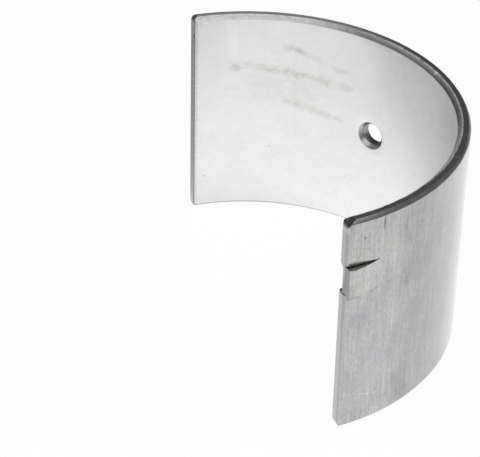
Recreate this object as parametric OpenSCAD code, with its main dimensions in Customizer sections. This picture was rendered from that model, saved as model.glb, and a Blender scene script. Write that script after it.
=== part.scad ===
// Half shell of a split plain bearing: a bonded steel and lining strip rolled to a half round,
// with a locating tang sheared and bent out at one parting face and an oil hole through the wall.
// Millimetres. +Z runs along the bearing axis, +Y points at the crown, and the tang is at the +X end.
// The origin is on the axis of the arc, at mid-length. The shell is drawn free, as it is before fitting.

/* [Shell] */
// Outside diameter once the shell is pressed into its housing
housing_d = 56.6; // [40:0.2:90]
// Wall thickness, steel back and lining bonded together
wall_t = 1.8; // [1.5:0.05:3]
// Length along the bearing axis
shell_l = 32.7; // [24:0.1:60]
// Extra width across the parting faces while the shell is free
free_spread = 1.6; // [0:0.1:3]

/* [Edges] */
// Chamfer round the bore at each end
bore_chamfer = 0.6; // [0.2:0.05:0.8]
// Chamfer round the back at each end, across the wall
back_chamfer = 0.35; // [0.1:0.05:0.5]
// Chamfer round the back at each end, along the axis
back_chamfer_l = 0.55; // [0.1:0.05:1]
// Chamfer on the bore edge of each parting face
joint_in_chamfer = 0.25; // [0.1:0.05:0.5]
// Chamfer on the back edge of each parting face
joint_out_chamfer = 0.35; // [0.1:0.05:0.5]
// Clipped top corner at the tang's parting face, along the arc
corner_arc = 1; // [0.4:0.1:2]
// Clipped top corner at the tang's parting face, along the axis
corner_l = 0.9; // [0.4:0.1:2]
// Clipped top corner at the plain parting face, along the arc
plain_corner_arc = 0.6; // [0.4:0.1:2]
// Clipped top corner at the plain parting face, along the axis
plain_corner_l = 0.5; // [0.4:0.1:2]
// Clipped bottom corners of both parting faces, along the arc
foot_corner_arc = 0.4; // [0.2:0.1:2]
// Clipped bottom corners of both parting faces, along the axis
foot_corner_l = 0.6; // [0.2:0.1:2]

/* [Oil hole] */
// Diameter of the hole through the wall
hole_d = 3.3; // [2:0.1:6]
// Angle round from the crown, away from the tang
hole_angle = 29; // [0:0.5:50]
// Height of the hole above mid-length
hole_rise = 0.15; // [-5:0.05:5]
// Diameter of the countersink at the lining
sink_d = 4.4; // [3:0.1:8]
// Depth of the countersink
sink_depth = 0.6; // [0.2:0.1:1]

/* [Tang] */
// Width between the two shear lines
tang_w = 4.3; // [3:0.1:8]
// Height of its middle above mid-length
tang_rise = 7.3; // [0:0.1:10]
// Length round the back from the parting face to the root
tang_l = 5; // [4:0.1:8]
// Height over the back at the parting face
tang_out = 1; // [0.6:0.05:2]
// How far its end stands back from the parting face
tang_back = 0.1; // [0.05:0.05:0.5]
// Rounding of its outer corners
tang_round = 0.25; // [0.1:0.05:0.5]
// Length round the back from the parting face to the crease across it
crease_l = 2.4; // [1:0.1:3.5]
// Height over the back at the crease
crease_out = 0.62; // [0.3:0.02:1.2]
// Length of the punch mark along the lining
punch_l = 4.5; // [3:0.1:8]
// Depth of the punch mark in the lining at the parting face
punch_depth = 0.85; // [0.3:0.05:1.2]
// How far the round nose of the bore stands into the punch mark
punch_nose = 1.5; // [0.6:0.1:2.1]

/* [Hidden] */
$fn = 96;

// The strip keeps its length round the back, so a wider mouth means a larger arc over a smaller angle
open_a = 90 * free_spread / housing_d;
half_a = 90 - open_a;
back_r = housing_d / 2 * 90 / half_a;
bore_r = back_r - wall_t;
half_l = shell_l / 2;
root_a = tang_l / back_r * 180 / PI;
crease_a = crease_l / back_r * 180 / PI;
crease_r = back_r + crease_out;
punch_a = punch_l / bore_r * 180 / PI;
nose_r = (tang_w * tang_w / 4 + punch_nose * punch_nose) / (2 * punch_nose);
nose_a = punch_a + (nose_r - punch_nose) / bore_r * 180 / PI;
sink_slope = (sink_d - hole_d) / sink_depth;
over = 1;

// Puts its children at the tang's parting face: x runs across the wall, y runs into the shell
module tang_end() {
    rotate([0, 0, open_a])
        children();
}

// Puts its children at the plain parting face, laid out as at the tang's
module plain_end() {
    mirror([1, 0, 0])
        tang_end()
            children();
}

// The rolled strip, chamfered round both ends
module strip() {
    rotate([0, 0, open_a])
        rotate_extrude(angle = 2 * half_a)
            polygon([
                [bore_r + bore_chamfer, -half_l],
                [back_r - back_chamfer, -half_l],
                [back_r, back_chamfer_l - half_l],
                [back_r, half_l - back_chamfer_l],
                [back_r - back_chamfer, half_l],
                [bore_r + bore_chamfer, half_l],
                [bore_r, half_l - bore_chamfer],
                [bore_r, bore_chamfer - half_l]
            ]);
}

// Edge breaks along the two long edges of a parting face
module joint_chamfers() {
    linear_extrude(height = shell_l + 2 * over, center = true) {
        polygon([
            [bore_r - joint_in_chamfer, 2 * joint_in_chamfer],
            [bore_r + 2 * joint_in_chamfer, -joint_in_chamfer],
            [bore_r - joint_in_chamfer, -joint_in_chamfer]
        ]);
        polygon([
            [back_r + joint_out_chamfer, 2 * joint_out_chamfer],
            [back_r - 2 * joint_out_chamfer, -joint_out_chamfer],
            [back_r + joint_out_chamfer, -joint_out_chamfer]
        ]);
    }
}

// Clip across the wall at the top corner of a parting face
module corner_clip(arc, l) {
    translate([bore_r - over, 0, 0])
        rotate([90, 0, 90])
            linear_extrude(height = wall_t + 2 * over)
                polygon([
                    [-arc, half_l - 2 * l],
                    [2 * arc, half_l + l],
                    [-arc, half_l + l]
                ]);
}

// Clips at the top and bottom corners of a parting face
module corner_clips(top_arc, top_l) {
    corner_clip(top_arc, top_l);
    mirror([0, 0, 1])
        corner_clip(foot_corner_arc, foot_corner_l);
}

// Oil hole with its countersink on the lining side
module oil_hole() {
    translate([0, 0, hole_rise])
        rotate([0, 0, 90 + hole_angle])
            rotate([0, 90, 0])
                translate([0, 0, bore_r - over]) {
                    cylinder(d = hole_d, h = wall_t + 2 * over);
                    cylinder(d1 = sink_d + sink_slope * over, d2 = hole_d, h = over + sink_depth);
                }
}

// The tang seen along the arc, its outer corners rounded
module tang_face() {
    translate([bore_r, -tang_w / 2])
        square([wall_t + tang_out - tang_round, tang_w]);
    translate([bore_r, tang_round - tang_w / 2])
        square([wall_t + tang_out, tang_w - 2 * tang_round]);
    for (up = [-1, 1])
        translate([back_r + tang_out - tang_round, up * (tang_w / 2 - tang_round)])
            circle(r = tang_round);
}

// The tab that stands out of the back, creased across
module tang() {
    translate([0, 0, tang_rise])
        intersection() {
            linear_extrude(height = tang_w, center = true)
                polygon([
                    [back_r - wall_t / 2, tang_back],
                    [back_r + tang_out, tang_back],
                    [crease_r * cos(crease_a), crease_r * sin(crease_a)],
                    [back_r * cos(root_a), back_r * sin(root_a)],
                    [(back_r - wall_t / 2) * cos(root_a), (back_r - wall_t / 2) * sin(root_a)]
                ]);
            rotate([90, 0, 0])
                linear_extrude(height = 4 * tang_l, center = true)
                    tang_face();
        }
}

// The trim of the tang's end, which keeps it clear of the parting face
module tang_trim() {
    translate([bore_r - over, -over, tang_rise - tang_w / 2])
        cube([wall_t + 2 * over, over + tang_back, tang_w]);
}

// The punch mark behind the tang: a floor that falls to the parting face, round the nose of the bore
module punch_mark() {
    translate([0, 0, tang_rise])
        difference() {
            linear_extrude(height = tang_w, center = true)
                polygon([
                    [bore_r + punch_depth, -over],
                    [bore_r + punch_depth, 0],
                    [bore_r * cos(punch_a), bore_r * sin(punch_a)],
                    [bore_r * cos(punch_a) - wall_t, bore_r * sin(punch_a)],
                    [bore_r - 2 * wall_t, -over]
                ]);
            rotate([0, 0, nose_a])
                rotate([0, 90, 0])
                    translate([0, 0, bore_r - 4 * wall_t])
                        cylinder(r = nose_r, h = 6 * wall_t);
        }
}

module bearing_shell() {
    color([0.72, 0.72, 0.71])
        difference() {
            union() {
                difference() {
                    strip();
                    tang_end()
                        joint_chamfers();
                    plain_end()
                        joint_chamfers();
                    tang_end()
                        corner_clips(corner_arc, corner_l);
                    plain_end()
                        corner_clips(plain_corner_arc, plain_corner_l);
                }
                tang_end()
                    tang();
            }
            tang_end() {
                tang_trim();
                punch_mark();
            }
            oil_hole();
        }
}

bearing_shell();
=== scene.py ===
import math

import bmesh
import bpy
from mathutils import Matrix, Vector


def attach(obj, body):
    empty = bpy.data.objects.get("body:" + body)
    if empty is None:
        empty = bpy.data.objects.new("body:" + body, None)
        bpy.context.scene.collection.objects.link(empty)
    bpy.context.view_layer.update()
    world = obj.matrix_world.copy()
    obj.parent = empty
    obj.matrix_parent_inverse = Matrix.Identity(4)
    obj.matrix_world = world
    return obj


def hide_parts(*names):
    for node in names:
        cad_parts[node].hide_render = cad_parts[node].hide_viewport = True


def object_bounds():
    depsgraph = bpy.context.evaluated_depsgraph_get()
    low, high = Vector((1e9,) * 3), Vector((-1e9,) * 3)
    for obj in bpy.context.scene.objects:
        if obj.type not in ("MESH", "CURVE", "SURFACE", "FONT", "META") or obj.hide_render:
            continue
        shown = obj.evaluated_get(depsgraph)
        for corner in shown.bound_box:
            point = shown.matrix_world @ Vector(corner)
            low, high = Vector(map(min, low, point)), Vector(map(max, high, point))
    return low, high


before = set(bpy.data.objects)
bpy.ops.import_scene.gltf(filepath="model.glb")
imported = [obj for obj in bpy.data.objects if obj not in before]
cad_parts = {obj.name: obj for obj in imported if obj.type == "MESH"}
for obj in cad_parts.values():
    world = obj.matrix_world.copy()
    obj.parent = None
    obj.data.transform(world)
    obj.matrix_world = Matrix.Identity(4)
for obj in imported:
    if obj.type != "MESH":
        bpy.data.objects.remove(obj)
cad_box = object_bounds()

# Sizes of the shell in millimetres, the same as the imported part's
MM = 0.001
HOUSING_D = 56.6
WALL = 1.8
LENGTH = 32.7
FREE_SPREAD = 1.6
BORE_CHAMFER = 0.6
BACK_CHAMFER = 0.35
BACK_CHAMFER_L = 0.55
JOINT_IN_CHAMFER = 0.25
JOINT_OUT_CHAMFER = 0.35
HOLE_D = 3.3
HOLE_ANGLE = 29.0
HOLE_RISE = 0.15
SINK_D = 4.4
SINK_DEPTH = 0.6
TANG_W = 4.3
TANG_RISE = 7.3
TANG_L = 5.0
TANG_OUT = 1.0
TANG_BACK = 0.1
TANG_ROUND = 0.25
CREASE_L = 2.4
CREASE_OUT = 0.62
PUNCH_L = 4.5
PUNCH_DEPTH = 0.85
PUNCH_NOSE = 1.5

# Clipped corners, along the arc and along the axis, and the shares of both that each corner's cuts take
TANG_CORNER = (1.0, 0.9)
PLAIN_CORNER = (0.6, 0.5)
FOOT_CORNER = (0.4, 0.6)
CORNER_CUTS = ((1, 1), (1.3, 0.45), (0.4, 1.3))

# Width of the two shear cracks beside the tang; the upper one closes at the lining and gapes at the back
CRACK = 0.07
CRACK_LEFT = 0.012
TEAR = 0.09
TEAR_L = 3.4
TEAR_FROM = 0.3 * WALL

# The pressed tang: the stretch over which its end is set back, its rolled-over end edge, and its foot
# side, which sinks a little and is rounder
SET_BACK_L = 1.0
END_ROUND = 0.3
FOOT_ROUND = 1.4 * TANG_ROUND
FOOT_SINK = 0.12
FOOT_SINK_L = 1.5

# Where the soft steps of the punch mark begin and end: round its nose, at its top side and its foot side
NOSE_STEP = (-0.04, 0.08)
TOP_STEP = (0.03, 0.55)
FOOT_STEP = (0, 0.14)

# Worn rounds: long edges, the edge between each end face and the bore chamfer, the oil hole, the corners
EDGE_ROUND = 0.05
RIM_ROUND = 0.12
HOLE_ROUND = 0.04
CORNER_ROUND = 0.04
SHARP = math.radians(24)

# How far from each parting face the rounds of the end faces stop, the reach of a corner's own rounds,
# and the stretch beside the tang that has none
PLAIN_STOP = 1.0
TANG_STOP = 1.6
CORNER_REACH = 2.0
TANG_CLEAR = 1.0

# How near two places count as one, before and after rounding, and how far an upright face may lean
TOUCH = 1e-4
NEAR = 1e-3
UPRIGHT = 0.1

# The arc of the free shell, and places along the flat strip it is rolled from
HALF_ANGLE = math.radians(90 - 90 * FREE_SPREAD / HOUSING_D)
BACK_R = HOUSING_D / 2 * (math.pi / 2) / HALF_ANGLE
BORE_R = BACK_R - WALL
END_S = HALF_ANGLE * BACK_R
HALF_L = LENGTH / 2
ROOT_S = END_S - TANG_L
PUNCH_S = END_S - PUNCH_L * BACK_R / BORE_R
HOLE_S = -math.radians(HOLE_ANGLE) * BACK_R
NOSE_R = (TANG_W ** 2 / 4 + PUNCH_NOSE ** 2) / (2 * PUNCH_NOSE)
NOSE_S = PUNCH_S - (NOSE_R - PUNCH_NOSE) * BACK_R / BORE_R
TANG_TOP = TANG_RISE + TANG_W / 2
TANG_FOOT = TANG_RISE - TANG_W / 2

# The flat sheet's square patch round the oil hole: half its width, cells along a side, and how near the
# hole's edge counts as on it
HOLE_PATCH = 3.2
HOLE_CELLS = 16
HOLE_MARGIN = 0.1
# Length of the sheet's finer cells before the tang's root
ROOT_RUN = 2.0


def spread(*stops):
    """Places along a line from (end of the stretch, cells in it) pairs after the first place."""
    places = [stops[0]]
    for end, cells in stops[1:]:
        start = places[-1]
        places += [start + (end - start) * k / cells for k in range(1, cells + 1)]
    return places


def flat_sheet(bm):
    """The strip's lining side before rolling, x along the arc and y along the axis, cracked and holed."""
    along = spread(
        -END_S,
        (JOINT_IN_CHAMFER - END_S, 1),
        (HOLE_S - HOLE_PATCH, 52),
        (HOLE_S + HOLE_PATCH, HOLE_CELLS),
        (ROOT_S - ROOT_RUN, 100),
        (ROOT_S, 10),
        (END_S - CREASE_L, 26),
        (END_S - JOINT_IN_CHAMFER, 20),
        (END_S, 5),
    )
    across = spread(
        -HALF_L,
        (BORE_CHAMFER - HALF_L, 1),
        (HOLE_RISE - HOLE_PATCH, 6),
        (HOLE_RISE + HOLE_PATCH, HOLE_CELLS),
        (TANG_FOOT - CRACK, 2),
        (TANG_FOOT, 1),
        (TANG_TOP, 40),
        (TANG_TOP + CRACK, 1),
        (HALF_L - BORE_CHAMFER, 5),
        (HALF_L, 1),
    )
    columns, rows = len(along) - 1, len(across) - 1
    bmesh.ops.create_grid(bm, x_segments=columns, y_segments=rows, size=0.5)
    for v in bm.verts:
        v.co.x = along[round((v.co.x + 0.5) * columns)]
        v.co.y = across[round((v.co.y + 0.5) * rows)]
    cracks, patch = [], []
    for f in bm.faces:
        s, z = f.calc_center_median().xy
        if s > ROOT_S and TANG_W / 2 < abs(z - TANG_RISE) < TANG_W / 2 + CRACK:
            cracks.append(f)
        elif max(abs(s - HOLE_S), abs(z - HOLE_RISE)) < HOLE_PATCH:
            patch.append(f)
    bmesh.ops.delete(bm, geom=cracks, context="FACES")
    bmesh.ops.delete(bm, geom=patch, context="FACES")
    rim = [e for e in bm.edges if e.is_boundary
           and max(max(abs(v.co.x - HOLE_S), abs(v.co.y - HOLE_RISE)) for v in e.verts) < HOLE_PATCH + TOUCH]
    ring = bmesh.ops.create_circle(
        bm, segments=4 * HOLE_CELLS, radius=HOLE_D / 2,
        matrix=Matrix.Translation((HOLE_S, HOLE_RISE, -WALL)))
    ring_edges = {e for v in ring["verts"] for e in v.link_edges}
    bmesh.ops.bridge_loops(bm, edges=rim + list(ring_edges))
    bmesh.ops.translate(bm, vec=(0, 0, WALL), verts=ring["verts"])


def on_tab(s, z):
    """True between the two shear cracks."""
    return s > ROOT_S - TOUCH and abs(z - TANG_RISE) < TANG_W / 2 + CRACK / 2


def chamfered_slab(bm):
    """Thickens the sheet to the wall and chamfers its outline, its corners and the oil hole."""
    thick = bmesh.ops.extrude_face_region(bm, geom=bm.faces[:], use_keep_orig=True)
    bmesh.ops.translate(
        bm, vec=(0, 0, WALL), verts=[g for g in thick["geom"] if isinstance(g, bmesh.types.BMVert)])
    hole = Vector((HOLE_S, HOLE_RISE))
    hole_reach = HOLE_D / 2 + HOLE_MARGIN
    hole_wall = [f for f in bm.faces if abs(f.normal.z) < UPRIGHT
                 and (f.calc_center_median().xy - hole).length < hole_reach]
    hole_edges = {e for f in hole_wall for e in f.edges}
    hole_verts = {v for f in hole_wall for v in f.verts}
    bmesh.ops.bisect_plane(
        bm, geom=hole_wall + list(hole_edges) + list(hole_verts),
        plane_co=(0, 0, SINK_DEPTH), plane_no=(0, 0, 1))
    for v in bm.verts:
        s, z, back = v.co.x, v.co.y, v.co.z > WALL / 2
        from_hole = Vector((s - HOLE_S, z - HOLE_RISE))
        if from_hole.length < hole_reach:
            grown = from_hole * (SINK_D / HOLE_D if v.co.z < TOUCH else 1)
            v.co.x, v.co.y = HOLE_S + grown.x * BACK_R / (BORE_R + v.co.z), HOLE_RISE + grown.y
            continue
        sign_s, sign_z = math.copysign(1, s), math.copysign(1, z)
        if abs(abs(z) - (HALF_L - BORE_CHAMFER)) < TOUCH and back:
            v.co.y = sign_z * (HALF_L - BACK_CHAMFER_L)
        if abs(abs(s) - (END_S - JOINT_IN_CHAMFER)) < TOUCH and back and not on_tab(s, z):
            v.co.x = sign_s * (END_S - JOINT_OUT_CHAMFER)
        if abs(z) > HALF_L - TOUCH:
            v.co.z = WALL - BACK_CHAMFER if back else BORE_CHAMFER
        elif abs(s) > END_S - JOINT_IN_CHAMFER + TOUCH and not on_tab(s, z):
            share = (abs(s) - END_S + JOINT_IN_CHAMFER) / JOINT_IN_CHAMFER
            v.co.z = WALL - JOINT_OUT_CHAMFER * share if back else JOINT_IN_CHAMFER * share
    for side, up, (arc, tall) in (
            (-1, 1, PLAIN_CORNER), (1, 1, TANG_CORNER), (-1, -1, FOOT_CORNER), (1, -1, FOOT_CORNER)):
        for arc_share, tall_share in CORNER_CUTS:
            clip_corner(bm, side, up, arc * arc_share, tall * tall_share)
    bmesh.ops.recalc_face_normals(bm, faces=bm.faces[:])


def clip_corner(bm, side, up, arc, tall):
    """Cuts one corner of the slab off along the line from arc on its end edge to tall on its side edge."""
    bmesh.ops.bisect_plane(
        bm, geom=bm.verts[:] + bm.edges[:] + bm.faces[:],
        plane_co=(side * (END_S - arc / 2), up * (HALF_L - tall / 2), 0),
        plane_no=(side * tall, up * arc, 0), clear_outer=True)
    bmesh.ops.holes_fill(bm, edges=[e for e in bm.edges if e.is_boundary], sides=0)


def worn_edges(bm):
    """Rounds the sharp edges a little, one group at a time, except down inside the shear cracks."""
    def at_rim(s, z, depth):
        return abs(z) > HALF_L - TOUCH and abs(depth - BORE_CHAMFER) < TOUCH

    def at_end(s, z, depth):
        return abs(z) > HALF_L - BORE_CHAMFER - NEAR and PLAIN_STOP - END_S < s < END_S - TANG_STOP

    def at_joint(s, z, depth):
        clear = s < 0 or abs(z - TANG_RISE) > TANG_W / 2 + TANG_CLEAR
        return abs(s) > END_S - JOINT_OUT_CHAMFER - NEAR and abs(z) < HALF_L - CORNER_REACH and clear

    def at_hole(s, z, depth):
        return math.hypot(s - HOLE_S, z - HOLE_RISE) < SINK_D

    def at_corner(s, z, depth):
        return abs(s) > END_S - CORNER_REACH and abs(z) > HALF_L - CORNER_REACH

    for offset, inside in (
            (RIM_ROUND, at_rim), (EDGE_ROUND, at_end), (EDGE_ROUND, at_joint), (HOLE_ROUND, at_hole),
            (CORNER_ROUND, at_corner)):
        sharp = [e for e in bm.edges if len(e.link_faces) == 2 and e.calc_face_angle() > SHARP
                 and all(inside(*v.co) for v in e.verts)]
        bmesh.ops.bevel(
            bm, geom=sharp, offset=offset, offset_type="OFFSET", segments=2, profile=0.5,
            affect="EDGES", clamp_overlap=True, material=-1)
        bmesh.ops.dissolve_degenerate(bm, dist=NEAR, edges=bm.edges[:])


def reach(angle, near, far):
    """Radius at which a ray from the axis, that angle in from the tang's parting face, meets a line."""
    run = far - near
    ray = Vector((math.cos(angle), math.sin(angle)))
    return near.cross(run) / ray.cross(run)


def polar(radius, inward):
    """The place at a radius, so far in along the back from the tang's parting face."""
    return radius * Vector((math.cos(inward / BACK_R), math.sin(inward / BACK_R)))


def step(value, low, high):
    """0 below low, 1 above high, and smooth between."""
    share = min(max((value - low) / (high - low), 0), 1)
    return share * share * (3 - 2 * share)


def pressed_tang(bm):
    """Bends the tab out between its cracks, presses the punch mark behind it and tears the upper crack."""
    tip, crease = polar(BACK_R + TANG_OUT, 0), polar(BACK_R + CREASE_OUT, CREASE_L)
    root = polar(BACK_R, TANG_L)
    mouth, heel = polar(BORE_R + PUNCH_DEPTH, 0), polar(BORE_R, END_S - PUNCH_S)
    for v in bm.verts:
        inward, off, back = END_S - v.co.x, v.co.y - TANG_RISE, v.co.z > WALL / 2
        if inward > TANG_L - TOUCH:
            continue
        if on_tab(v.co.x, v.co.y):
            inward += TANG_BACK * max(1 - inward / SET_BACK_L, 0)
            v.co.x = END_S - inward
        angle = inward / BACK_R
        if TANG_W / 2 + CRACK / 2 < off < TANG_W / 2 + CRACK * 1.5:
            gape = step(v.co.z, TEAR_FROM, WALL)
            v.co.y += TEAR * (1 - step(inward, 0, TEAR_L)) * gape - (CRACK - CRACK_LEFT) * (1 - gape)
        elif not on_tab(v.co.x, v.co.y):
            continue
        elif back:
            slope = (tip, crease) if inward < CREASE_L else (crease, root)
            sink = FOOT_SINK * step(-off, 0, TANG_W / 2) * (1 - step(inward, 0, FOOT_SINK_L))
            lift = reach(angle, *slope) - BACK_R - sink
            corner = TANG_ROUND if off > 0 else FOOT_ROUND
            over = min(max(abs(off) - TANG_W / 2 + corner, 0), corner)
            v.co.z += min(lift, TANG_OUT - corner + math.sqrt(corner ** 2 - over ** 2))
            short = max(END_ROUND + TANG_BACK - inward, 0)
            v.co.z -= END_ROUND - math.sqrt(max(END_ROUND ** 2 - short ** 2, 0))
        elif inward < END_S - PUNCH_S:
            from_nose = math.hypot((v.co.x - NOSE_S) * BORE_R / BACK_R, off) - NOSE_R
            share = step(from_nose, *NOSE_STEP) * step(TANG_W / 2 - off, *TOP_STEP) * step(
                TANG_W / 2 + off, *FOOT_STEP)
            v.co.z = max(v.co.z + (reach(angle, mouth, heel) - BORE_R) * share, JOINT_IN_CHAMFER - inward)


def rolled_shell():
    """The whole shell: the finished strip rolled to its arc round the bearing axis."""
    bm = bmesh.new()
    flat_sheet(bm)
    chamfered_slab(bm)
    worn_edges(bm)
    pressed_tang(bm)
    for v in bm.verts:
        angle, radius = v.co.x / BACK_R, BORE_R + v.co.z
        v.co = Vector((radius * math.sin(angle), radius * math.cos(angle), v.co.y)) * MM
    bmesh.ops.recalc_face_normals(bm, faces=bm.faces[:])
    for f in bm.faces:
        f.smooth = True
    for e in bm.edges:
        e.smooth = e.calc_face_angle(0) < SHARP
    mesh = bpy.data.meshes.new("rolled_shell")
    bm.to_mesh(mesh)
    bm.free()
    shell = bpy.data.objects.new("rolled_shell", mesh)
    bpy.context.scene.collection.objects.link(shell)
    even = shell.modifiers.new("even_faces", "WEIGHTED_NORMAL")
    even.weight, even.keep_sharp = 50, True
    return shell


class Value:
    """A shader socket that takes part in Python arithmetic."""

    def __init__(self, tree, socket):
        self.tree, self.socket = tree, socket

    def _maths(self, operation, *others):
        return self.tree.add("ShaderNodeMath", {"operation": operation}, dict(enumerate((self,) + others)))

    def __add__(self, other):
        return self._maths("ADD", other)

    __radd__ = __add__

    def __sub__(self, other):
        return self._maths("SUBTRACT", other)

    def __rsub__(self, other):
        return self.tree.add("ShaderNodeMath", {"operation": "SUBTRACT"}, {0: other, 1: self})

    def __mul__(self, other):
        return self._maths("MULTIPLY", other)

    __rmul__ = __mul__

    def __truediv__(self, other):
        return self._maths("DIVIDE", other)

    def __pow__(self, other):
        return self._maths("POWER", other)

    def __abs__(self):
        return self._maths("ABSOLUTE")

    def over(self, other):
        return self._maths("GREATER_THAN", other)

    def under(self, other):
        return self._maths("LESS_THAN", other)

    def between(self, low, high):
        return self.over(low) * self.under(high)

    def angle_with(self, other):
        return self._maths("ARCTAN2", other)

    def vary(self, swing):
        """A noise moved to swing round 0, by that much in all."""
        return (self - 0.5) * swing

    def rise(self, low, high):
        """0 below low, 1 above high, and smooth between."""
        return self.tree.add(
            "ShaderNodeMapRange", {"interpolation_type": "SMOOTHSTEP"},
            {"Value": self, "From Min": low, "From Max": high, "To Min": 0.0, "To Max": 1.0})


class Tree:
    """A node tree that takes each node's type, settings and sockets in one call."""

    def __init__(self, tree):
        self.nodes, self.links = tree.nodes, tree.links
        self.nodes.clear()

    def add(self, kind, settings=None, sockets=None, out=0):
        node = self.nodes.new(kind)
        for name, value in (settings or {}).items():
            setattr(node, name, value)
        for name, value in (sockets or {}).items():
            socket = node.inputs[name]
            if isinstance(value, Value):
                self.links.new(value.socket, socket)
            else:
                socket.default_value = value
        return Value(self, node.outputs[out]) if node.outputs else node

    def mix(self, share, first, second, how="MIX"):
        return self.add(
            "ShaderNodeMix", {"data_type": "RGBA", "blend_type": how},
            {0: share, 6: first, 7: second}, out=2)

    def place(self):
        """The object's own x, y and z in millimetres."""
        here = self.add("ShaderNodeTexCoord", out="Object")
        split = self.add("ShaderNodeSeparateXYZ", {}, {0: here}).socket.node
        return [Value(self, end) / MM for end in split.outputs]


def grey(level):
    return (level, level, level, 1)


# Marks on the unrolled strip, placed by arc from the crown and height from mid-length.
# A spot is its arc, height, half arc, half height and strength.
# A stroke is its start, end, half width, wander and strength.
BACK_SPOTS = (
    (39.06, 14.9, 0.16, 1.6, 1.5),
    (34.5, 4.3, 0.14, 1.3, 1.0),
    (42.0, 13.4, 0.2, 0.2, 1.6),
    (41.8, 4.7, 0.2, 0.18, 1.4),
    (41.3, 5.0, 0.16, 0.16, 1.2),
)
BACK_STREAKS = ((35.2, 13.0, 0.4, 3.2, 0.8),)
# A painted shadow under the tab's lower edge, as a stroke
TAB_SHADOW_STROKES = (((40.0, TANG_FOOT - 0.08), (45.5, TANG_FOOT - 0.72), 0.42, 0.0, 0.8),)
# Broad soft bands of painted shade down the whole back, as spots
BACK_SHADES = ((25.0, 0, 13.0, 80.0, 0.22), (34.0, 0, 3.0, 60.0, 0.12))
BRIGHT_SCRATCHES = (
    ((39.6, -12.1), (41.6, -11.6), 0.14, 0.0, 0.16),
    ((43.2, -11.2), (44.0, -11.0), 0.14, 0.0, 0.16),
)
BRONZED = (42.0, 6.0, 0.9, 2.8)
RUB_STROKES = (
    ((-38.5, 7.8), (-33.5, 8.2), 1.1, 2.0, 0.45),
    ((-34.0, 7.8), (-22.0, 6.7), 1.0, 1.6, 0.8),
    ((-30.0, 11.6), (-26.8, 10.9), 0.95, 1.0, 1.0),
    ((-27.5, 11.0), (-23.5, 9.8), 0.9, 1.6, 0.4),
    ((-30.0, 2.3), (-20.0, 0.9), 1.0, 1.8, 0.6),
    ((-22.0, 9.3), (-19.6, 9.1), 0.6, 1.0, 0.8),
)
RUB_SPOTS = (
    (-37.9, 7.8, 1.3, 1.0, 0.6),
    (-19.7, 6.7, 2.0, 1.1, 0.6),
    (-30.0, 4.9, 11.0, 4.6, 0.3),
)
LINING_SPECKS = (
    (-32.1, -5.7, 0.16, 0.16, 1.0),
    (-42.6, -10.8, 0.16, 0.2, 1.0),
    (-19.1, -8.5, 0.14, 0.14, 1.0),
)
# Nicks in the rim, painted bright as glints
INNER_NICK_GLINT = (-1.7, HALF_L - 0.1, 0.4, 0.4)
WHOLE_NICK_GLINT = (16.0, HALF_L, 0.14, 0.3)
OUTER_NICK_GLINT = (22.0, HALF_L, 0.14, 0.3)
# A painted highlight on the parting face just below the clipped corner beside the tang
CORNER_HIGHLIGHT = (END_S, HALF_L - 1.3, 0.5, 0.7)

# How soft a spot is, as shares of its size, and the ends of a stroke, in millimetres
SPOT_FADE = (0.3, 1.0)
STROKE_FADE = 1

# Tints, which multiply the tone
COOL_STEEL = (0.985, 0.99, 1.02, 1)
WARM_STEEL = (1.008, 1.0, 0.98, 1)
BRONZE_STEEL = (1.04, 1.0, 0.93, 1)
CLEAN_LINING = (1.0, 1.0, 0.997, 1)
RUBBED_LINING = (1.0, 0.99, 0.97, 1)
END_FACE = (1.0, 0.975, 1.04, 1)
SHEARED_SIDE = (1.0, 0.94, 0.86, 1)

# Pairs from here to the bump are where a change begins and where it is full, in millimetres if not said

# The foot of the back by height, and the foot of the lining, which is painted lighter, by height
BACK_FOOT = (-17, -9)
LINING_LIT_FOOT = (-16, -8)
# The two steps of painted shade by which the lining darkens towards the tang, by arc
TANG_SIDE_SHADE_FIRST = (-10, 0)
TANG_SIDE_SHADE_THEN = (-3, 6)
# The bright strip of lining near the plain end: where it begins, where it ends and where it fades below
CLEAN_FROM = (-39.3, -39.1)
CLEAN_TO = (-37.7, -37.3)
CLEAN_ABOVE = (8.0, 11.0)
# The lining's darker edge by the plain end: how far in from the plain end, and the heights up which it
# darkens
PLAIN_EDGE_IN = (0.2, 0.95)
PLAIN_EDGE_UP = (-14, 6)
# The rim along the arc: where its bands begin, where its end face stops being lighter and rougher, and its
# crown, where the outer chamfer has a painted highlight
BANDS_FROM = (-20, -8)
LIGHTER_FLAT_UNTIL = (-26, -4)
CROWN_HIGHLIGHT = 11
CROWN_HIGHLIGHT_FADE = (3, 9)
# The bore chamfer's dark and light bands, by depth, and how far from the edge its bright line, a worn edge
# with a painted highlight, reaches
DARK_BAND = (0.1, 0.25)
LIGHT_BAND = (0.22, 0.4)
EDGE_LINE = (0.1, 0.2)
# Depth at which the inner nick stops and the outer nick starts
INNER_NICK_STOP = 0.75
OUTER_NICK_START = 0.9
# The plain parting face and its ragged lip of painted shade, by arc, and the lip's depth and height
PLAIN_FACE = (0.04 - END_S, 0.08 - END_S)
LIP_SHADE_ARC = (0.3 - END_S, 0.36 - END_S)
LIP_SHADE_DEPTH = (0.2, 0.32)
LIP_SHADE_UP = (-14, 4)
# The darker line along both parting faces, by arc, and the depths at which it begins and ends
JOINT_LINE_ARC = (END_S - 0.4, END_S - 0.35)
JOINT_LINE_FROM = (1.2, 1.35)
JOINT_LINE_TO = (1.5, 1.65)
# The clipped corner beside the tang, as shares of its size
CLIP_FADE = (0.15, 0.3)
# The tab: the arc where its end starts, the height where its upper side does, and the mark's depth
TAB_END = END_S - TANG_BACK - 0.03
TAB_TOP = TANG_TOP - 0.02
MARK_DEPTH = PUNCH_DEPTH + 0.05
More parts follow.
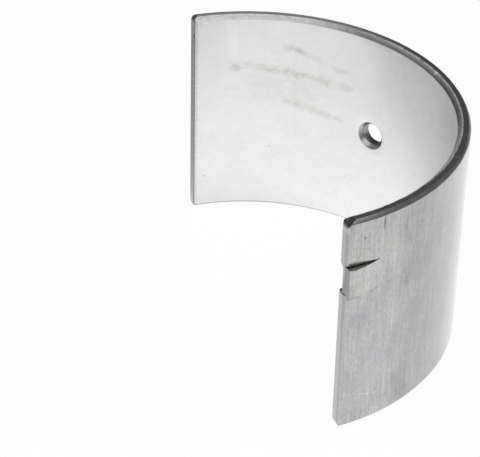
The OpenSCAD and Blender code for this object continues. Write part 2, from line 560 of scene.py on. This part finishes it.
# The painted shade in the torn crack: its limits by arc, height and depth
CRACK_SHADE_ARC = (ROOT_S, END_S - 0.04)
CRACK_SHADE_UP = (TANG_TOP + CRACK_LEFT / 2, TANG_TOP + CRACK + TEAR + 0.03)
CRACK_SHADE_DEPTH = (0.12, WALL - 0.05)
# The ledge below the punch mark, painted light: how far from its height it reaches, and how deep
LIT_LEDGE_FADE = (0.03, 0.06)
LIT_LEDGE_DEPTH = 1.2
# The painted shade on the tab's end, by height and depth, and the depth at which the painted shade on its
# upper side lightens
END_SHADE_UP = (6.5, 8.0)
END_SHADE_DEPTH = (1.2, 1.6)
SIDE_DEPTH = (1.9, 2.25)
# The shade in the oil hole: its radius and its depth
HOLE_SHADE_R = SINK_D / 2 + 0.3
HOLE_SHADE_DEPTH = (0.4, 1.3)
# The end faces, the two chamfers of the rim, the back and the bore
FLAT_FADE = (HALF_L - 0.03, HALF_L - 0.01)
INNER_FADE = (HALF_L - BORE_CHAMFER, HALF_L - BORE_CHAMFER + 0.04)
OUTER_FADE = (HALF_L - BACK_CHAMFER_L, HALF_L - BACK_CHAMFER_L + 0.04)
OUTER_DEPTH = WALL - BACK_CHAMFER - 0.02
BACK_FADE = (WALL - 0.05, WALL - 0.01)
BORE_FADE = (0.01, 0.05)

# Depth of the bump in metres
BUMP_DEPTH = 0.00002


class ShellMetal(Tree):
    """The bonded strip's finish, laid out on the unrolled strip: arc, height and depth in millimetres."""

    def __init__(self):
        self.material = bpy.data.materials.new("bearing_strip")
        self.material.use_nodes = True
        super().__init__(self.material.node_tree)
        x, y, self.z = self.place()
        self.depth = (x * x + y * y) ** 0.5 - BORE_R
        self.arc = x.angle_with(y) * BACK_R
        self.strip = self.add("ShaderNodeCombineXYZ", {}, {0: self.arc, 1: self.z, 2: self.depth})
        self.sway = self.noise(0.6, 0.4, detail=4.0)
        self.finish()

    def noise(self, per_arc, per_height, per_depth=1.0, detail=3.0):
        """Noise with so many cells to the millimetre along the arc, the axis and the wall."""
        scaled = self.add(
            "ShaderNodeVectorMath", {"operation": "MULTIPLY"},
            {0: self.strip, 1: (per_arc, per_height, per_depth)})
        return self.add(
            "ShaderNodeTexNoise", {}, {"Vector": scaled, "Scale": 1.0, "Detail": detail, "Roughness": 0.55})

    def spot(self, arc, height, half_arc, half_height):
        """1 at the middle of a soft oval spot and 0 outside it."""
        along, up = (self.arc - arc) / half_arc, (self.z - height) / half_height
        return 1 - ((along * along + up * up) ** 0.5).rise(*SPOT_FADE)

    def stroke(self, start, end, half_width, wander):
        """1 along a soft stroke between two (arc, height) places, which may wander, and 0 away from it."""
        slope = (end[1] - start[1]) / (end[0] - start[0])
        off = abs(self.z - start[1] - (self.arc - start[0]) * slope + self.sway.vary(wander))
        begun = self.arc.rise(start[0] - STROKE_FADE, start[0] + STROKE_FADE)
        ended = self.arc.rise(end[0] - STROKE_FADE, end[0] + STROKE_FADE)
        return (1 - off.rise(0, half_width)) * begun * (1 - ended)

    def spots(self, marks):
        return sum(self.spot(*mark) * strength for *mark, strength in marks)

    def strokes(self, marks):
        return sum(self.stroke(*mark) * strength for *mark, strength in marks)

    def steel_back(self):
        """Pale steel drawn along the axis, with fine streaks, faint tints and a few scratches, broad bands of
        painted shade and a painted shadow under the tab.
        """
        fine, wide = self.noise(4.5, 0.22, detail=4.0), self.noise(1.3, 0.07)
        cloud, pits = self.noise(0.25, 0.18, 0.1), self.noise(3.0, 1.6, detail=5.0)
        tone = 0.48 + fine.vary(0.36) + wide.vary(0.16) + cloud.vary(0.2) + pits.vary(0.3)
        tone = tone - (1 - self.z.rise(*BACK_FOOT)) * 0.02
        hairs = fine.rise(0.6, 0.7) * self.noise(0.5, 0.2).rise(0.48, 0.62)
        streaked = fine.rise(0.4, 0.6)
        # The stroke under the tab is a painted shadow
        marks = self.spots(BACK_SPOTS) + self.spots(BACK_STREAKS) * streaked + self.strokes(TAB_SHADOW_STROKES)
        tone = tone * (1 - hairs * 0.25) * (1 - marks * 0.5)
        # Broad bands of painted shade down the back
        for *shade, strength in BACK_SHADES:
            tone = tone * (1 - self.spot(*shade) * strength)
        tone = tone + self.strokes(BRIGHT_SCRATCHES)
        hue = self.noise(0.7, 0.3)
        tint = self.mix(hue.rise(0.4, 0.6), COOL_STEEL, WARM_STEEL)
        tint = self.mix(self.spot(*BRONZED) * streaked, tint, BRONZE_STEEL)
        return self.mix(1.0, tint, tone, "MULTIPLY"), 0.24 + fine.vary(0.1), fine

    def lining(self):
        """Satin pale lining, mottled, with painted shade towards the tang, painted light at its foot, a
        darker edge by the plain end and dark rub marks that run round the bore.
        """
        mottle, fleck = self.noise(0.7, 0.9), self.noise(4.0, 4.0, detail=4.0)
        blotch, haze = self.noise(0.9, 1.3).rise(0.36, 0.64), self.noise(0.28, 0.3, detail=4.0)
        rubs = self.strokes(RUB_STROKES) + self.spots(RUB_SPOTS)
        dirt = rubs * (0.1 + blotch * 0.45 + fleck.rise(0.38, 0.6) * 0.5)
        clean = self.arc.rise(*CLEAN_FROM) * (1 - self.arc.rise(*CLEAN_TO)) * self.z.rise(*CLEAN_ABOVE)
        tone = 0.945 + mottle.vary(0.13) + fleck.vary(0.18) + haze.vary(0.12)
        # Painted light: the lining is a little lighter towards its foot
        tone = tone + clean * 0.03 + (1 - self.z.rise(*LINING_LIT_FOOT)) * 0.03
        tone = tone * (1 - dirt * 0.3) * (1 - self.spots(LINING_SPECKS) * 0.4)
        # Painted shade: the lining is darkened in two steps towards the tang
        tone = tone * (1 - self.arc.rise(*TANG_SIDE_SHADE_FIRST) * 0.13 - self.arc.rise(*TANG_SIDE_SHADE_THEN) * 0.12)
        # The lining is darker along the plain end, more so higher up
        plain_edge_dark = 1 - (self.arc + END_S + self.noise(1.0, 3.0).vary(0.9)).rise(*PLAIN_EDGE_IN)
        tone = tone * (1 - plain_edge_dark * (0.12 + self.z.rise(*PLAIN_EDGE_UP) * 0.12))
        tint = self.mix(dirt, CLEAN_LINING, RUBBED_LINING)
        return self.mix(1.0, tint, tone, "MULTIPLY"), 0.4 + mottle.vary(0.1)

    def rims(self, tone, blotch):
        """The end faces, their chamfers and the bright edge between, with painted highlights on the edge, the
        nicks and the outer chamfer at the crown: tone, end faces, added roughness.
        """
        tall = abs(self.z)
        flat = tall.rise(*FLAT_FADE)
        inner = tall.rise(*INNER_FADE) * self.depth.under(BORE_CHAMFER) * (1 - flat)
        outer = tall.rise(*OUTER_FADE) * self.depth.over(OUTER_DEPTH) * (1 - flat)
        ahead = self.arc.rise(*BANDS_FROM)
        bands = self.depth.rise(*LIGHT_BAND) * 0.3 - (1 - self.depth.rise(*DARK_BAND)) * 0.2
        tone = tone + inner * (0.12 - self.depth * 0.12 + blotch.vary(0.3) + ahead * bands)
        # Painted highlight: the outer chamfer is darkened less near the crown
        chamfer_highlight = 1 - abs(self.arc - CROWN_HIGHLIGHT).rise(*CROWN_HIGHLIGHT_FADE)
        tone = tone - outer * (0.17 - chamfer_highlight * 0.13 - blotch.vary(0.25))
        from_edge = ((self.depth - BORE_CHAMFER) ** 2 + (tall - HALF_L) ** 2) ** 0.5
        # The bright line along the edge: a worn edge, painted lighter as a highlight, more so from where the
        # bands begin
        line = (1 - from_edge.rise(*EDGE_LINE)) * self.noise(1.2, 0.2).rise(0.3, 0.55)
        tone = tone + line * (0.15 + ahead * 0.4) - inner * (1 - ahead) * 0.06
        # Nicks in the rim, painted bright as glints
        nicks_and_glints = (self.spot(*INNER_NICK_GLINT) * self.depth.under(INNER_NICK_STOP) + self.spot(*WHOLE_NICK_GLINT) * 0.4
                 + self.spot(*OUTER_NICK_GLINT) * self.depth.over(OUTER_NICK_START) * 0.5)
        # The end face is lighter and rougher towards the plain end
        lighter_flat = flat * (1 - self.arc.rise(*LIGHTER_FLAT_UNTIL))
        tone = tone + nicks_and_glints * 0.45 + lighter_flat * 0.25
        return tone, flat, lighter_flat * 0.3 + line * ahead * 0.35 + nicks_and_glints * 0.5

    def parting_faces(self, tone, grain):
        """The parting faces, the ragged lip of painted shade on the plain one, the clipped corner with
        painted shade and a painted highlight below it: tone and roughness.
        """
        far = 1 - self.arc.rise(*PLAIN_FACE)
        ragged = self.depth + self.noise(1.0, 3.5, 2.0).vary(0.6)
        # Painted shade along the bore edge of the plain parting face, weaker towards the foot
        lip_shade = (1 - self.arc.rise(*LIP_SHADE_ARC)) * (1 - ragged.rise(*LIP_SHADE_DEPTH))
        tone = (tone + far * 0.38) * (1 - lip_shade * (0.15 + self.z.rise(*LIP_SHADE_UP) * 0.25))
        joint_dark_line = (abs(self.arc).rise(*JOINT_LINE_ARC)
                * self.depth.rise(*JOINT_LINE_FROM) * (1 - self.depth.rise(*JOINT_LINE_TO)))
        cut_arc, cut_tall = TANG_CORNER
        from_cut = abs((END_S - self.arc) / cut_arc + (HALF_L - self.z) / cut_tall - 1)
        clipped = 1 - from_cut.rise(*CLIP_FADE)
        # Painted shade on the clipped corner beside the tang, broken up by the grain
        tone = tone * (1 - joint_dark_line * 0.16) * (1 - clipped * (0.35 + grain.rise(0.4, 0.6) * 0.3))
        # A painted highlight just below the clipped corner
        return tone + self.spot(*CORNER_HIGHLIGHT) * 0.18, far * 0.2

    def sheared_tab(self, tone):
        """The tab's end, sides and crack and the punch mark, with painted shade on the end, the upper side
        and the crack and painted light on the ledge: tone, roughness, the end, the sheared sides.
        """
        at_tab = self.arc.over(ROOT_S) * abs(self.z - TANG_RISE).under(TANG_W / 2 + CRACK / 2)
        end = at_tab * self.arc.over(TAB_END)
        floor = at_tab * (1 - end) * self.depth.under(MARK_DEPTH)
        upper = at_tab * (1 - end) * self.z.over(TAB_TOP)
        crack_shade = self.arc.between(*CRACK_SHADE_ARC) * self.z.between(*CRACK_SHADE_UP) * self.depth.between(*CRACK_SHADE_DEPTH)
        # Painted light on the ledge below the punch mark
        lit_ledge = (self.arc.over(PUNCH_S) * (1 - abs(self.z - TANG_FOOT + CRACK).rise(*LIT_LEDGE_FADE))
                 * self.depth.under(LIT_LEDGE_DEPTH))
        # Painted shade on the tab's end, strongest low down and towards the back
        end_shade = 1 - self.z.rise(*END_SHADE_UP) * (1 - self.depth.rise(*END_SHADE_DEPTH))
        tone = tone * (1 - floor * 0.5) * (1 - end * (0.08 + end_shade * 0.24)) * (1 + lit_ledge * 0.7)
        # Painted shade on the tab's upper side, darkest low in the crack, and painted shade in the torn crack
        tone = tone * (1 - upper * (0.8 - self.depth.rise(*SIDE_DEPTH) * 0.5)) * (1 - crack_shade * 0.9)
        return tone, (upper + crack_shade) * 0.35 + lit_ledge * 0.3, end, upper, crack_shade

    def cut_metal(self):
        """Bare cut faces: dull flats and chamfers, the sheared tang darkened by painted shade and a bright
        line at the rim that is partly a painted highlight.
        """
        grain, blotch = self.noise(2.5, 6.0, 6.0), self.noise(1.1, 1.1, 3.0)
        speck = self.noise(9.0, 5.0, 9.0, detail=2.0)
        tone = 0.52 + grain.vary(0.16) + blotch.vary(0.12) + speck.vary(0.35)
        tone, flat, rim_rough = self.rims(tone, blotch)
        tone, joint_rough = self.parting_faces(tone, grain)
        tone, tab_rough, end, upper, crack_shade = self.sheared_tab(tone)
        from_hole = ((self.arc - HOLE_S) ** 2 + (self.z - HOLE_RISE) ** 2) ** 0.5
        tone = tone * (1 - from_hole.under(HOLE_SHADE_R) * self.depth.rise(*HOLE_SHADE_DEPTH) * 0.45)
        tint = self.mix(flat, grey(1.0), END_FACE)
        tint = self.mix(upper, tint, SHEARED_SIDE)
        rough = 0.32 + rim_rough + joint_rough + tab_rough
        return self.mix(1.0, tint, tone, "MULTIPLY"), rough, end, upper + crack_shade, grain

    def finish(self):
        """Joins the back, the lining and the cut faces into one metal."""
        cut_colour, cut_rough, end, sheared, grain = self.cut_metal()
        back = self.depth.rise(*BACK_FADE) * (1 - end) * (1 - sheared)
        bore = 1 - self.depth.rise(*BORE_FADE)
        back_colour, back_rough, drawn = self.steel_back()
        bore_colour, bore_rough = self.lining()
        colour = self.mix(back, cut_colour, back_colour)
        colour = self.mix(bore, colour, bore_colour)
        rough = cut_rough + (back_rough - cut_rough) * back + (bore_rough - cut_rough) * bore
        height = drawn * back * 0.6 + self.noise(6.0, 6.0) * bore * 0.4 + grain * 0.3
        normal = self.add(
            "ShaderNodeBump", {}, {"Strength": 0.25, "Distance": BUMP_DEPTH, "Height": height})
        surface = self.add(
            "ShaderNodeBsdfPrincipled", {},
            {"Base Color": colour, "Metallic": 1.0, "Roughness": rough, "Normal": normal,
             "Coat Weight": back, "Coat Roughness": 0.12})
        self.add("ShaderNodeOutputMaterial", {}, {"Surface": surface})


# The floor's radius in metres and the sides of its outline
FLOOR_R = 0.3
FLOOR_SIDES = 96
# The floor's shade as the metal mirrors it, in millimetres: where it begins and is full towards the plain
# end and further beyond it, where it eases inside the arc, and where it thins out from the open side
SHADE_NEAR = (17, 25)
SHADE_BEYOND = (22, 45)
SHADE_INSIDE = (-3, 4)
SHADE_OPEN = (-38, 2)


def white_floor(low):
    """A pale table at the shell's foot, white to the camera and shaded towards the plain end in the metal."""
    bm = bmesh.new()
    bmesh.ops.create_circle(
        bm, cap_ends=True, segments=FLOOR_SIDES, radius=FLOOR_R, matrix=Matrix.Translation((0, 0, low)))
    mesh = bpy.data.meshes.new("floor")
    bm.to_mesh(mesh)
    bm.free()
    floor = bpy.data.objects.new("floor", mesh)
    bpy.context.scene.collection.objects.link(floor)
    material = bpy.data.materials.new("white_floor")
    material.use_nodes = True
    t = Tree(material.node_tree)
    seen = t.add("ShaderNodeLightPath", out="Is Camera Ray")
    mirrored = Value(t, seen.socket.node.outputs["Is Glossy Ray"])
    across, along = t.place()[:2]
    beyond = across * -1
    outside = 1 - along.rise(*SHADE_INSIDE)
    shade = beyond.rise(*SHADE_NEAR) * (0.14 + outside * 0.18) + beyond.rise(*SHADE_BEYOND) * 0.38
    level = (1 - mirrored * (1 - along.rise(*SHADE_OPEN)) * 0.18) * (1 - mirrored * shade)
    matt = t.add("ShaderNodeBsdfDiffuse", {}, {"Color": grey(0.9)})
    glow = t.add("ShaderNodeEmission", {}, {"Color": level, "Strength": 1.0})
    mixed = t.add("ShaderNodeMixShader", {}, {0: seen * 0.97 + mirrored * 0.95, 1: matt, 2: glow})
    t.add("ShaderNodeOutputMaterial", {}, {"Surface": mixed})
    mesh.materials.append(material)


# The photograph's view, found from the shell's outlines in its 480 by 457 frame
VIEW_W = 480
FOCAL_PX = 2003
TURN = math.radians(68.518)
TILT = math.radians(33.861)
ROLL = 0.0217
DISTANCE = 277.62
AIM = Vector((1.0879, -2.0946, -1.4945))
# The camera's sensor in millimetres, and the nearest and farthest it sees in metres
SENSOR_W = 36
CLIP_NEAR = 0.01
CLIP_FAR = 20

# Level directions of the photograph's frame: to its right, and away from its camera
RIGHT = Vector((math.cos(TURN), math.sin(TURN), 0))
AWAY = Vector((-math.sin(TURN), math.cos(TURN), 0))
UP = Vector((0, 0, 1))

# The room's level, how much darker it is behind the object, and the cosines between which it darkens
ROOM_LEVEL = 0.25
ROOM_DARKER = 0.17
ROOM_FADE = (0.2, 0.8)

# The soft box, in metres and watts
BOX_PLACE = RIGHT * 0.1 - AWAY * 0.4 + UP * 0.68
BOX_W = 1.2
BOX_TALL = 1.0
BOX_POWER = 3.2


def studio_light():
    """A dim room, darker behind the object and white to the camera, under one wide soft box in front."""
    world = bpy.data.worlds.new("studio")
    bpy.context.scene.world = world
    world.use_nodes = True
    t = Tree(world.node_tree)
    seen = t.add("ShaderNodeLightPath", out="Is Camera Ray")
    way = t.add("ShaderNodeTexCoord", out="Generated")
    away = t.add("ShaderNodeVectorMath", {"operation": "DOT_PRODUCT"}, {0: way, 1: AWAY}, out="Value")
    level = ROOM_LEVEL - away.rise(*ROOM_FADE) * ROOM_DARKER
    room = t.add("ShaderNodeBackground", {}, {"Color": level, "Strength": 1.0})
    white = t.add("ShaderNodeBackground", {}, {"Color": grey(1.0), "Strength": 1.0})
    mixed = t.add("ShaderNodeMixShader", {}, {0: seen, 1: room, 2: white})
    t.add("ShaderNodeOutputWorld", {}, {"Surface": mixed})
    lamp = bpy.data.lights.new("front_soft_box", "AREA")
    lamp.shape, lamp.size, lamp.size_y, lamp.energy = "RECTANGLE", BOX_W, BOX_TALL, BOX_POWER
    box = bpy.data.objects.new("front_soft_box", lamp)
    box.location = BOX_PLACE
    box.rotation_euler = (-BOX_PLACE).to_track_quat("-Z", "Y").to_euler()
    bpy.context.scene.collection.objects.link(box)


def photo_camera():
    """A camera at the photograph's angle, with no shift and no depth of field."""
    ahead = AWAY * math.cos(TILT) - UP * math.sin(TILT)
    level_up = RIGHT.cross(ahead)
    right = RIGHT * math.cos(ROLL) + level_up * math.sin(ROLL)
    up = level_up * math.cos(ROLL) - RIGHT * math.sin(ROLL)
    lens = bpy.data.cameras.new("photo_view")
    lens.sensor_fit, lens.sensor_width = "HORIZONTAL", SENSOR_W
    lens.lens = FOCAL_PX * SENSOR_W / VIEW_W
    lens.clip_start, lens.clip_end = CLIP_NEAR, CLIP_FAR
    camera = bpy.data.objects.new("photo_view", lens)
    turned = Matrix((right, up, -ahead)).transposed().to_4x4()
    camera.matrix_world = Matrix.Translation((AIM - ahead * DISTANCE) * MM) @ turned
    bpy.context.scene.collection.objects.link(camera)
    bpy.context.scene.camera = camera


shell = rolled_shell()
shell.data.materials.append(ShellMetal().material)
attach(shell, "root")
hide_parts("bearing_shell")
white_floor(cad_box[0].z)
studio_light()
photo_camera()
bpy.context.scene.view_settings.view_transform = "Standard"
